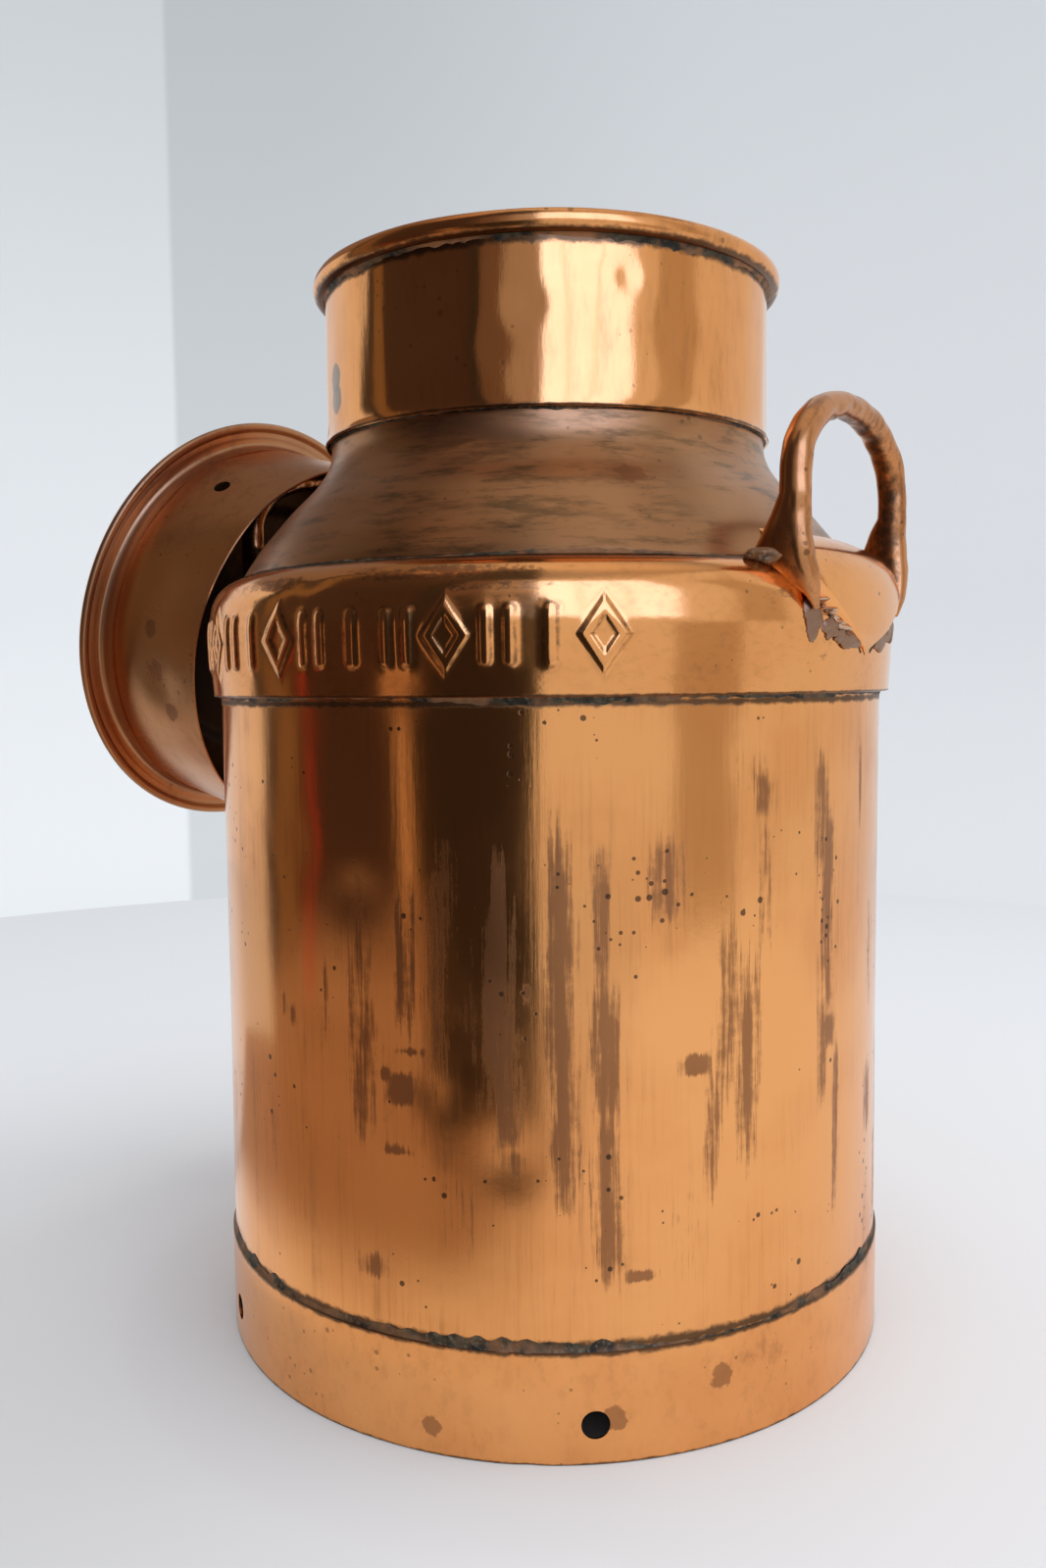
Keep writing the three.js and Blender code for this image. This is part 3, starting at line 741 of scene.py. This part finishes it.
fitted(band_bead, solder, "churn", "solder", "band_solder")

# ---- The cone: the sloping shoulder between band and neck, in one sheet with a short upright collar
# that slips inside the neck. It is duller than the rest, with strokes of the brush running round it.

CONE_SHEET = 1.5 * MM
CONE_MEAN_R = 135 * MM
CONE_LINE = [
    (160.5, 363.8), (154.4, 366.7), (153.2, 370.2), (143.8, 384.2), (129.2, 401.5), (118.5, 412),
    (112, 420.5), (108.9, 428), (108.25, 434), (108.25, 446),
]
cone_line = sheet(smooth_line(np.array(CONE_LINE) * MM, 84, 8), CONE_SHEET)
cone_heights = cone_line[:, 1, None]
CONE_DENTS = [(-38.8, 411, 7, 1.0), (-48.6, 385, 16, 0.6), (-90, 392, 18, 0.7), (70, 400, 18, 1.0)]
cone_push = unevenness(TURN, cone_heights, 51, 12, 0.07, 0.22 * MM)
cone_push = cone_push + dents(TURN, cone_heights, CONE_MEAN_R, CONE_DENTS)
cone = surface("shoulder_cone_sheet", turned(cone_line, TURN, cone_push), True, True)
cone_finish = copper(
    "cone_copper",
    shine=(0.47, 0.235, 0.105),
    stained=0.85,
    runs=(1, 1, 9),
    run_scale=4,
    gloss=(0.30, 0.44),
    seams=[(369.5, 1.0), (435.5, 0.6)],
    stains=[(place_on(126, -38.8, 408), 12)],
    speckled=0.4,
    brushed=0.85,
    stroke_colour=(0.15, 0.088, 0.042),
)
fitted(cone, cone_finish, "churn", "copper_cone", "shoulder_cone")
crease_bead = ragged_fillet("crease_solder_bead", 153.6 * MM, 369.2 * MM, 1.2 * MM, 1.2 * MM, 61, lean=-0.6)
fitted(crease_bead, solder, "churn", "solder", "crease_solder")

# ---- The neck: a bright collar for the lid, soldered over the cone's upright edge. Its top is rolled
# outwards round an iron wire, and a lumpy bead of dark solder fills the corner under the roll.

NECK_SHEET = 1.5 * MM
NECK_R = 110.1 * MM
RIM_WIDE = 7.4 * MM
RIM_TALL = 9.4 * MM
RIM_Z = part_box("rim_bead")[1][2] - RIM_TALL / 2
RIM_R = NECK_R - NECK_SHEET + RIM_WIDE / 2
FINE_TURN = np.radians(np.arange(0, 360, 0.8))
NECK_LINE = [(111.4, 436.3), (110.5, 439), (110.1, 443), (110.1, 506)]
neck_line = sheet(smooth_line(np.array(NECK_LINE) * MM, 64, 2), NECK_SHEET)
neck_heights = neck_line[:, 1, None]
neck_push = unevenness(FINE_TURN, neck_heights, 71, 34, 0.20, 0.13 * MM)
neck_push = neck_push + unevenness(FINE_TURN, neck_heights, 72, 12, 0.08, 0.10 * MM)
NECK_DENTS = [
    (-36, 490, 6, 0.5), (-45, 500, 5, 0.3), (-58, 478, 8, 0.5), (-67, 462, 9, 0.4),
    (-24, 470, 12, 0.6),
]
neck_push = neck_push + dents(FINE_TURN, neck_heights, NECK_R, NECK_DENTS)
neck = surface("neck_sheet", turned(neck_line, FINE_TURN, neck_push), True, True)
neck_finish = copper(
    "neck_copper",
    stained=0.35,
    runs=(1, 1, 0.3),
    run_scale=30,
    gloss=(0.1, 0.28),
    seams=[(436.3, 0.9), (505, 3.0)],
    grey_patches=[(place_on(110, -119, 453), 11), (place_on(110, -119.5, 463), 11)],
    speckled=0.3,
)
fitted(neck, neck_finish, "churn", "copper_neck", "neck_collar")
neck_bead = ragged_fillet("neck_solder_bead", 108.3 * MM, 436.1 * MM, 1.1 * MM, 1.6 * MM, 81, rise=-1)
fitted(neck_bead, solder, "churn", "solder", "neck_solder")


def curl(middle_r, middle_z, wide, tall, thickness, start, stop, count=26):
    """The outline of a sheet rolled round a wire: an oval line from start to stop degrees, with its
    thickness laid to the inside."""
    angle = np.radians(np.linspace(start, stop, count))
    line = np.stack([middle_r + wide / 2 * np.cos(angle), middle_z + tall / 2 * np.sin(angle)], -1)
    return sheet(line, thickness)


rim_line = curl(RIM_R, RIM_Z, RIM_WIDE, RIM_TALL, 1.1 * MM, -105, 215)
rim_push = unevenness(FINE_TURN, rim_line[:, 1, None], 91, 14, 0.1, 0.16 * MM)
rim = surface("rolled_rim", turned(rim_line, FINE_TURN, rim_push), True, True)
rim_finish = copper(
    "rim_copper",
    stained=0.5,
    runs=EVEN,
    run_scale=30,
    gloss=(0.16, 0.34),
    seams=[(507, 2.4)],
)
fitted(rim, rim_finish, "churn", "copper_neck", "rim_bead")
rim_bead = ragged_fillet("rim_solder_bead", NECK_R - 0.2 * MM, 507.2 * MM, 3.2 * MM, 2.6 * MM, 95, rise=-1)
fitted(rim_bead, solder_finish("rim_solder_look", 0.12, 1.0), "churn", "solder", "rim_solder")

# ---- The handles: each is one thick bar of copper bent to a loop, with its feet drawn out wide and
# soldered down on the shoulder. Hands keep their crowns bright; the side of each bar that faces into
# the loop is darkened, as dirt and painted shade.

HANDLE_HALF_SPAN = 54
HANDLE_SPRING_Z = 403
HANDLE_RISE = 33.6
HANDLE_DEEP = 13.4 * MM
HANDLE_WIDE = 11.6 * MM
HANDLE_X = 161
ARCH_POINTS = 61
HANDLE_FOOT = [(166.2, 45, 348), (165.2, 49, 357), (163.2, 52.5, 365.5), (161.4, 54, 375), (161, 54, 386)]


def handle_grid(side, seed):
    """An oval section carried along a loop, square to its run: two legs and half an ellipse between
    them. Towards the feet the section swells, most on the side of the neck, then tapers away along the
    saddle. Gives the grid, and how far each point faces the inside of the loop."""
    bend = np.radians(np.linspace(180, 0, ARCH_POINTS))
    arch = np.stack([np.cos(bend) * HANDLE_HALF_SPAN, HANDLE_SPRING_Z + np.sin(bend) * HANDLE_RISE], -1)
    arch = np.hstack([np.full((ARCH_POINTS, 1), HANDLE_X), arch])
    foot = np.array(HANDLE_FOOT)
    route = smooth_line(np.vstack([foot * (1, -1, 1), arch, foot[::-1]]), 190, 5)
    along = np.gradient(route, axis=0)
    along /= np.linalg.norm(along, axis=1)[:, None]
    outwards = np.array((1.0, 0, 0)) - along[:, :1] * along
    outwards /= np.linalg.norm(outwards, axis=1)[:, None]
    sideways = np.cross(along, outwards)
    up = route[:, 2]
    swell = np.interp(up, [348, 355, 362, 370, 396], [0.25, 0.62, 0.88, 1.0, 1.0])[:, None]
    lean = np.interp(up, [348, 355, 362, 370, 378, 394], [0.4, 0.7, 2.6, 3.4, 2.3, 1.0])[:, None]
    turn = np.radians(np.arange(0, 360, 10.0))[None, :]
    share = np.linspace(0, 2 * math.pi, len(route))[:, None]
    lump = 1 + 0.03 * unevenness(share, turn * 0.02, seed, 22, 0.12, 1.0)
    deep = HANDLE_DEEP / 2 * swell * lump * np.cos(turn)
    deep = np.where(deep < 0, deep * lean, deep)
    wide = HANDLE_WIDE / 2 * swell * lump * np.sin(turn)
    grid = route[:, None, :] * MM + deep[..., None] * outwards[:, None, :]
    grid = grid + wide[..., None] * sideways[:, None, :]
    towards_middle = np.stack([0 * up, -route[:, 1], HANDLE_SPRING_Z - 12 - up], -1)
    towards_middle /= np.linalg.norm(towards_middle, axis=1)[:, None] + 1e-9
    facing = np.sign(np.sum(sideways * towards_middle, axis=1))[:, None] * np.sin(turn)
    ends = [np.repeat(line.mean(axis=0)[None, None, :], grid.shape[1], 1) for line in (grid[0], grid[-1])]
    grid = np.concatenate([ends[0], grid, ends[1]])
    facing = np.vstack([0 * facing[:1], facing, 0 * facing[:1]])
    return grid * (side, side, 1) + AXIS, facing


handle_finish = copper(
    "handle_copper",
    shine=(0.62, 0.27, 0.105),
    stained=1.0,
    runs=(1, 1, 0.6),
    run_scale=50,
    gloss=(0.24, 0.42),
    speckled=0.6,
    brushed=0.5,
    stroke_colour=(0.12, 0.065, 0.035),
)
for name, side in (("right", 1), ("left", -1)):
    grid, facing = handle_grid(side, 101 + side)
    handle = surface(f"{name}_handle_bar", grid, False, True)
    # Dirt and painted shade: the faces that turn into the loop are darkened.
    laid_on(handle, "dirt_and_shade", np.clip(facing - 0.35, 0, 1) * 1.1)
    fitted(handle, handle_finish, "churn", "copper_handle", f"handle_{name}")

# ---- The saddles: a pressed copper pad under each handle, shaped like a shield that hangs over the
# shoulder. It is soldered down all round, in a ragged line that has lost pieces.

SADDLE_LINE = [
    (170.6, 329.0), (171.6, 331.5), (173.4, 337.5), (174.6, 344), (175, 352), (174.3, 360),
    (171.9, 367), (167.6, 372.8), (161, 377.3), (153, 380.9), (145.5, 383.0),
]
SHOULDER_R = 171
SADDLE_ROWS = 60
UNDER_SADDLE = [
    (170.0, 329), (170.2, 336), (170.3, 343), (169.6, 350), (168.3, 357), (164.8, 362.8),
    (160.6, 366.3), (155.5, 368.6), (152.3, 371.4), (148, 377.8), (144.4, 383),
]
SADDLE_HALF = [
    (329, 0.5), (332.5, 4), (336, 12), (341, 23), (348.5, 35), (356, 45), (363.5, 53), (370, 54),
    (376, 49), (383, 41),
]


def saddle_grid(side, seed):
    """A pad over the shoulder: rows run down its profile, columns across it. Its outer face drops to
    the shoulder at both sides, and its underside closes it."""
    outer = smooth_line(np.array(SADDLE_LINE) * MM, SADDLE_ROWS, 3)
    under = smooth_line(np.array(UNDER_SADDLE) * MM, SADDLE_ROWS, 2)
    half = np.interp(outer[:, 1], *(np.array(SADDLE_HALF).T * MM))
    half = half * (1 + 0.03 * unevenness(0.0, outer[:, 1] * 9, seed, 1, 0.25, 1.0))
    across = np.sin(np.linspace(-math.pi / 2, math.pi / 2, 61))
    edge = np.clip((1 - np.abs(across)) / 0.11, 0, 1) ** 0.45
    edge = edge[None, :] * np.minimum(1, np.linspace(0, 7, SADDLE_ROWS) ** 0.6)[:, None]
    edge[-1] = 0
    angle = np.arcsin(half[:, None] * across[None, :] / outer[:, 0, None])
    faces = []
    for share in (edge, 0 * edge):
        radius = under[:, 0, None] + (outer - under)[:, 0, None] * share
        height = under[:, 1, None] + (outer - under)[:, 1, None] * share
        faces.append(np.stack([radius * np.cos(angle), radius * np.sin(angle), height], -1))
    grid = np.concatenate([faces[0], faces[1][:, ::-1]], axis=1)
    return grid * (side, side, 1) + AXIS


saddle_finish = copper(
    "saddle_copper",
    stained=0.45,
    runs=EVEN,
    run_scale=30,
    gloss=(0.16, 0.36),
    speckled=0.7,
)


def on_saddle(side, degrees, z, lift):
    """The point of the shoulder under the saddle at degrees from its middle and a height, lifted from
    it. Angles, heights and lifts can be arrays."""
    under = np.array(UNDER_SADDLE)[:, ::-1] * MM
    radius = np.interp(z, under[:, 0], under[:, 1]) + lift
    angle = np.radians(degrees)
    points = np.stack([radius * np.cos(angle), radius * np.sin(angle), z + 0 * radius], -1)
    return points * (side, side, 1) + AXIS


def seam_rope(name, side, edge, top, foot, thick, beyond, seed):
    """A ragged rope of solder along one side of the saddle, between two heights: a round section whose
    size and place wander, laid a little beyond the saddle's edge."""
    down = np.linspace(0, 1, 110)[:, None]
    z = (top + (foot - top) * down) * MM
    half = np.interp(z, *(np.array(SADDLE_HALF).T * MM)) + beyond * MM
    wander = unevenness(0.0, down * 0.9, seed, 1, 0.22, 0.8 * MM)
    size = thick * MM * np.clip(1 + 0.5 * unevenness(0.0, down, seed + 1, 1, 0.07, 1.0, 40), 0.3, 1.9)
    size = size * np.clip(np.minimum(down, 1 - down) * 14, 0.05, 1) ** 0.5
    turn = np.radians(np.arange(0, 360, 20.0))[None, :]
    knots = 1 + 0.16 * unevenness(turn, down * 3, seed + 2, 4, 0.12, 1.0)
    degrees = edge * np.degrees((half + wander + size * np.sin(turn) * knots * 1.2) / (SHOULDER_R * MM))
    grid = on_saddle(side, degrees, z + size * np.cos(turn) * 0.2, size * np.cos(turn) * knots * 0.8)
    ends = [np.repeat(line.mean(axis=0)[None, None, :], grid.shape[1], 1) for line in (grid[0], grid[-1])]
    return surface(name, np.concatenate([ends[0], grid, ends[1]]), False, True, welded=True)


def torn_plate(name, side, degrees, z, wide, tall, seed):
    """A thin flake with a torn outline, lying on the shoulder. Its rings run from the middle out to the
    outline and back beneath. The outline's reach is a sum of a few waves, cut into corners."""
    turn = np.radians(np.arange(0, 360, 6.0))[None, :]
    share = np.concatenate([np.linspace(0, 1, 8), np.linspace(1, 0, 6)])[:, None]
    lift = np.concatenate([1.5 - 0.9 * np.linspace(0, 1, 8) ** 4, np.linspace(0.0, -0.6, 6)])[:, None] * MM
    reach = 1 + 0.22 * np.round(1.6 * unevenness(turn, 0.0, seed, 6, 1.0, 0.8, 12)) / 1.6
    reach = np.clip(reach, 0.7, 1.4)
    across = wide / 2 * share * reach * np.cos(turn)
    climb = tall / 2 * share * reach * np.sin(turn)
    crumple = unevenness(turn, share * 0.5, seed + 1, 5, 0.3, 0.3 * MM) * share
    grid = on_saddle(side, degrees + np.degrees(across / SHOULDER_R), (z + climb) * MM, lift + crumple)
    return surface(name, grid, False, True, welded=True)


def mound(name, middle, radii, seed):
    """A lump of solder: an ellipsoid with an uneven skin."""
    tilt = np.linspace(0, math.pi, 19)[:, None]
    turn = np.radians(np.arange(0, 360, 12.0))[None, :]
    skin = 1 + 0.12 * unevenness(turn, np.cos(tilt) * 0.1, seed, 5, 0.09, 1.0) * np.sin(tilt)
    ball = np.stack([np.sin(tilt) * np.cos(turn), np.sin(tilt) * np.sin(turn), np.cos(tilt) + 0 * turn], -1)
    return surface(name, ball * skin[..., None] * np.array(radii) * MM + middle, False, True, welded=True)


seam_solder = solder_finish("seam_solder", 0.9, 0.8)
bright_seam = copper(
    "bright_seam",
    shine=(0.62, 0.42, 0.28),
    stained=0.6,
    runs=EVEN,
    run_scale=70,
    gloss=(0.22, 0.5),
)
flake_finish = copper(
    "flake_brown",
    shine=(0.34, 0.20, 0.125),
    stained=0.5,
    runs=EVEN,
    run_scale=40,
    gloss=(0.45, 0.6),
)
# The crack rope is a thin line of dark solder along the seam's outer edge, where it draws the shade in the
# crack: painted shade.
SEAM_ROPES = [
    ("ridge", 374, 338, 3.0, 0.2, bright_seam),
    ("outer", 369, 350, 1.3, 5.2, bright_seam),
    ("crack", 369, 330, 0.8, 3.6, solder),
]
SADDLE_FLAKES = [(-14.9, 343.5, 12, 15), (-11.0, 340.5, 11, 9), (-5.8, 335.2, 17, 8.5), (-8.5, 337.2, 9, 6)]
for name, side in (("right", 1), ("left", -1)):
    saddle = surface(f"{name}_saddle_pad", saddle_grid(side, 121 + side), False, True, welded=True)
    fitted(saddle, saddle_finish, "churn", "copper_band", f"saddle_{name}")
    for edge, edge_name in ((-1, "a"), (1, "b")):
        seam = f"{name}_seam_{edge_name}"
        seed = 131 + 10 * edge
        for k, (part, top, foot, thick, beyond, finish) in enumerate(SEAM_ROPES):
            rope = seam_rope(f"{seam}_{part}", side, edge, top, foot, thick, beyond, seed + 3 * k)
            fitted(rope, finish, "churn", "solder", f"saddle_solder_{name}")
        for k, (degrees, z, wide, tall) in enumerate(SADDLE_FLAKES):
            flake = torn_plate(f"{seam}_flake_{k}", side, -edge * degrees, z, wide, tall, seed + 9 + k)
            fitted(flake, flake_finish, "churn", "solder", f"saddle_solder_{name}")
        middle = AXIS + np.array((148 * side, 50.5 * edge * side, 369.5)) * MM
        lump = mound(seam + "_mound", middle, (11, 13, 4.2), seed + 14)
        fitted(lump, seam_solder, "churn", "solder", f"saddle_solder_{name}")

# ---- The lid: a deep skirt that fits the neck, a flange with its edge curled round a wire, and a
# sunk crown with a riveted strap grip. It is off the churn, hung by its skirt over the left handle.

LID_TILT = math.radians(76.1)
LID_AT = AXIS + np.array((-218.6, -6, 355.3)) * MM
LID_SHEET = 1.2 * MM
SKIRT_TOP_R = 105.6
SKIRT_END_R = 104
SKIRT_DEPTH = 76
VENT_R = 4.6 * MM
VENT_DEPTH = 35.5 * MM
VENT_START = -39
SKIRT_MEAN_R = 105 * MM
LID_TURN = np.array(Matrix.Rotation(-LID_TILT, 3, "Y"))


def on_lid(grid):
    """Points in the lid's own frame, flange level and skirt down, brought to where the lid hangs."""
    return grid @ LID_TURN.T + LID_AT


def lid_turned(profile, angles, push=0.0):
    return on_lid(turned(profile, angles, push, axis=np.zeros(3)))


skirt_outside = np.array([(SKIRT_END_R, -SKIRT_DEPTH), (SKIRT_TOP_R, -1)]) * MM
skirt_line = sheet(smooth_line(skirt_outside, 50, 0), LID_SHEET)
skirt_push = unevenness(TURN, skirt_line[:, 1, None], 151, 12, 0.07, 0.42 * MM)
SKIRT_DENTS = [
    (-75, -40, 14, 0.7), (-105, -50, 12, 0.8), (-20, -30, 12, 0.4), (60, -40, 16, 0.9),
    (150, -45, 18, 0.8),
]
skirt_push = skirt_push + dents(TURN, skirt_line[:, 1, None], SKIRT_MEAN_R, SKIRT_DENTS)
skirt = surface("lid_skirt_sheet", lid_turned(skirt_line, TURN, skirt_push), True, True)
vents = []
for k in range(2):
    angle = math.radians(VENT_START + 180 * k)
    outwards = np.array((math.cos(angle), math.sin(angle), 0))
    vents.append((on_lid(outwards * SKIRT_MEAN_R - (0, 0, VENT_DEPTH)), LID_TURN @ outwards, VENT_R, 16 * MM))
pierced(skirt, vents)


def lid_point(radius, degrees, depth):
    """A point on the lid's skirt, at degrees round the lid from its own +X."""
    angle = math.radians(degrees)
    return on_lid(np.array((radius * math.cos(angle), radius * math.sin(angle), -depth)) * MM)


lid_finish = copper(
    "lid_copper",
    shine=(0.62, 0.29, 0.12),
    stained=0.75,
    runs=EVEN,
    run_scale=20,
    gloss=(0.27, 0.46),
    stains=[(lid_point(105, -100, 45), 11), (lid_point(105, -112, 55), 9), (lid_point(105, -88, 40), 8)],
    speckled=0.4,
    brushed=0.3,
)
fitted(skirt, lid_finish, "lid", "copper_lid", "lid_skirt")

FLANGE_LINE = [
    (106, -10), (106.2, -5.6), (107.0, -3.0), (108.6, -1.5), (110.4, -1.2), (112.6, -1.6),
    (114.6, -1.0),
]
flange_face = smooth_line(np.array(FLANGE_LINE) * MM, 34, 3)
bead_angle = np.radians(np.linspace(-150, 150, 26))
bead = np.stack([117.7 * MM + 2.2 * MM * np.cos(bead_angle), -0.6 * MM + 2.2 * MM * np.sin(bead_angle)], -1)
FLANGE_TOP = [(114.2, 0.5), (112.4, -0.3), (109.3, 0.1), (105.2, 0.0), (104.0, -4), (103.9, -9)]
flange_top = smooth_line(np.array(FLANGE_TOP) * MM, 30, 2)
flange_line = np.vstack([flange_face, bead, flange_top])
flange_push = unevenness(FINE_TURN, flange_line[:, 1, None], 161, 8, 0.1, 0.16 * MM)
flange = surface("lid_flange_sheet", lid_turned(flange_line, FINE_TURN, flange_push), True, True)
flange_finish = copper(
    "flange_copper",
    shine=(0.52, 0.265, 0.13),
    stained=0.85,
    runs=EVEN,
    run_scale=24,
    gloss=(0.34, 0.5),
    speckled=0.3,
)
fitted(flange, flange_finish, "lid", "copper_lid", "lid_flange")
# Painted shade: the faces inside the lid, which lie in its shadow, get a near-black copper.
shaded_lid_inside = copper(
    "lid_inside_painted_shade",
    shine=(0.10, 0.062, 0.042),
    stained=0.6,
    runs=EVEN,
    run_scale=24,
    gloss=(0.45, 0.6),
)


def lined(piece, finish):
    """Gives the second finish, the painted shade of the lid's inside, to the faces that look towards the
    middle of the lid's mouth.
    """
    piece.data.materials.append(finish)
    faces = piece.data.polygons
    middles = np.empty(len(faces) * 3, dtype=np.float32)
    normals = np.empty(len(faces) * 3, dtype=np.float32)
    faces.foreach_get("center", middles)
    faces.foreach_get("normal", normals)
    to_mouth = on_lid(np.array((0, 0, -40 * MM))) - middles.reshape(-1, 3)
    inside = np.sum(to_mouth * normals.reshape(-1, 3), axis=1) > 0
    faces.foreach_set("material_index", inside.astype(np.int32))


lined(skirt, shaded_lid_inside)

CROWN_LINE = [(0, -10.2), (68, -10.2), (74, -13.5), (98, -14.8), (102.2, -14.2), (103.2, -11), (103.3, -6)]
crown_outside = smooth_line(np.array(CROWN_LINE) * MM, 110, 4)
crown_outside[0] = (0, -10.2 * MM)
crown_inside = crown_outside + np.array((0, 1.2)) * MM
crown_inside[-12:] = crown_outside[-12:] + np.array((-1.2, 0.6)) * MM
crown_line = np.vstack([crown_outside, crown_inside[::-1]])
crown = surface("lid_crown_sheet", lid_turned(crown_line, TURN[::2]), False, True, welded=True)
fitted(crown, flange_finish, "lid", "copper_lid", "lid_crown")
lined(crown, shaded_lid_inside)

# ---- What stays as the frame has it: wires inside their rolls, the bottom and its bead, the lid's
# grip and rivets. Each gets a finish in place of its plain one.

KEPT = {
    "rim_wire": solder,
    "lid_edge_wire": solder,
    "bottom_solder": solder,
    "lid_crown_solder": solder,
    "bottom_plate": cone_finish,
    "lid_grip": handle_finish,
    "lid_rivet_1": handle_finish,
    "lid_rivet_2": handle_finish,
    "lid_rivet_3": handle_finish,
    "lid_rivet_4": handle_finish,
}
for node, finish in KEPT.items():
    piece = bpy.data.objects[node]
    for place in range(max(1, len(piece.material_slots))):
        piece.material_slots[place].material = finish
